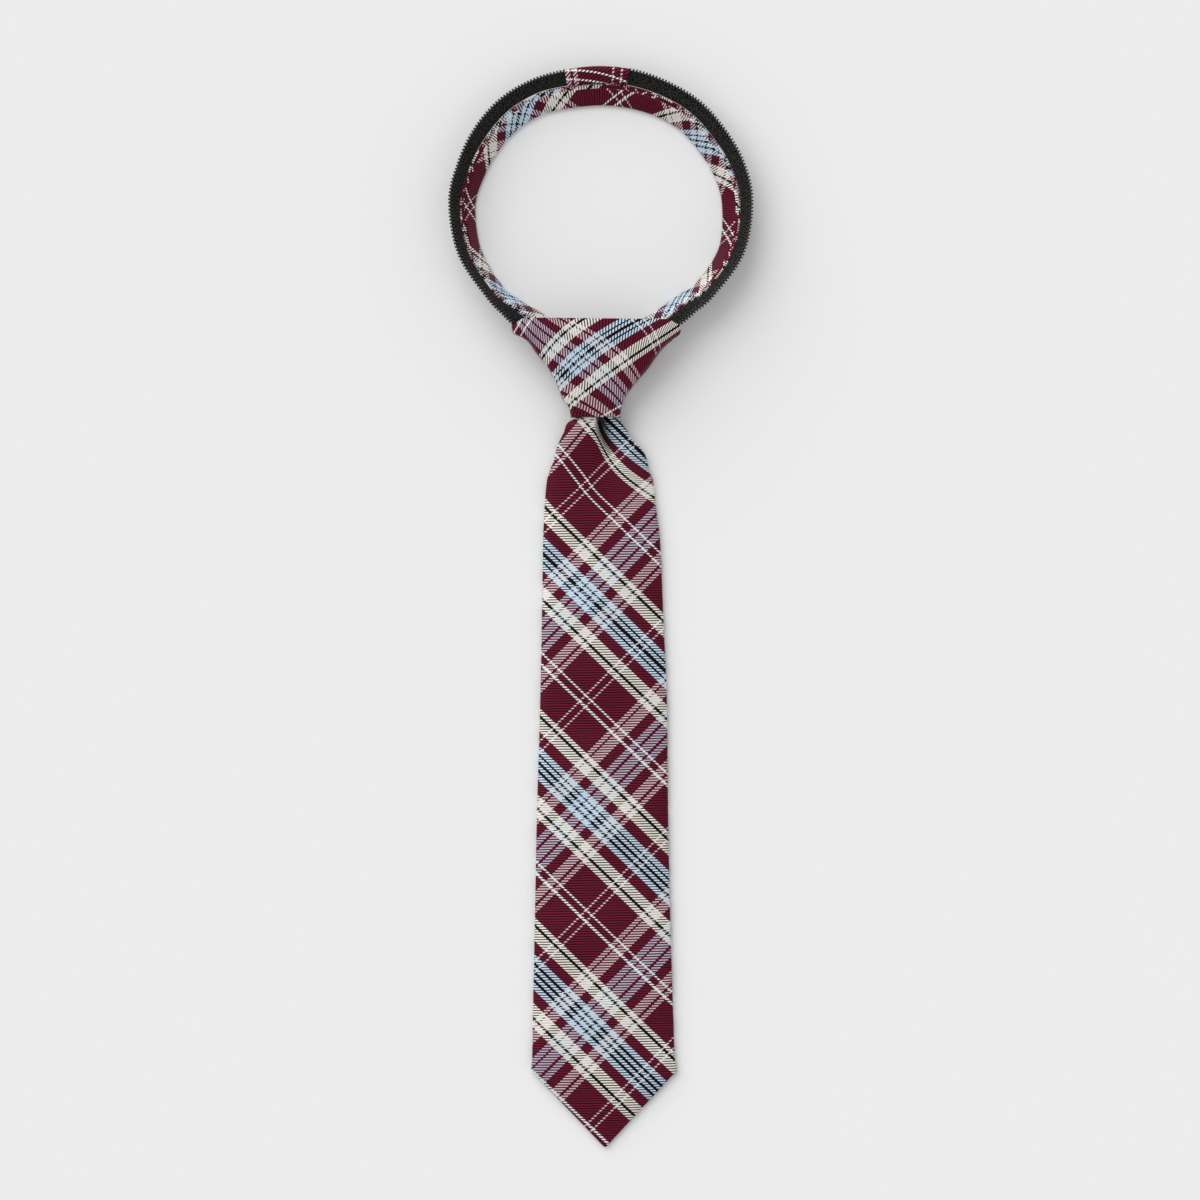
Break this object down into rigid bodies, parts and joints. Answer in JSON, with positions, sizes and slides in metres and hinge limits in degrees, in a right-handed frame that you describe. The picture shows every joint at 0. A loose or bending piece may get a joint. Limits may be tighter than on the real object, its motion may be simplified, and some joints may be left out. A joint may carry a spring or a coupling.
{
  "type": "zipper necktie",
  "caption": "Ready-tied plaid necktie with a pointed blade, a cone-shaped knot and a closed neck band edged with coil zip tape, lying face up.",
  "frame": {"origin": "the middle of the tie's footprint, on the surface that it lies on", "axes": "+Y up the tie from the point to the back of the neck, +X to the right seen from the front, +Z out of its face"},
  "size_m": [0.1328, 0.4692, 0.02],
  "materials": {
    "plaid_cloth": "matte twill weave, burgundy plaid with cream, light blue and black",
    "zip_tape": "matte black woven tape",
    "zip_coil": "black nylon coil, slight sheen",
    "slider_metal": "plain metal"
  },
  "bodies": {
    "root": {"blade": "plaid_cloth", "knot": "plaid_cloth", "neck_strap": "plaid_cloth", "back_tab": "plaid_cloth", "left_tape": "zip_tape", "right_tape": "zip_tape", "zip_tail": "zip_tape", "left_coil": "zip_coil", "right_coil": "zip_coil", "zip_slider": "slider_metal"}
  },
  "joints": []
}
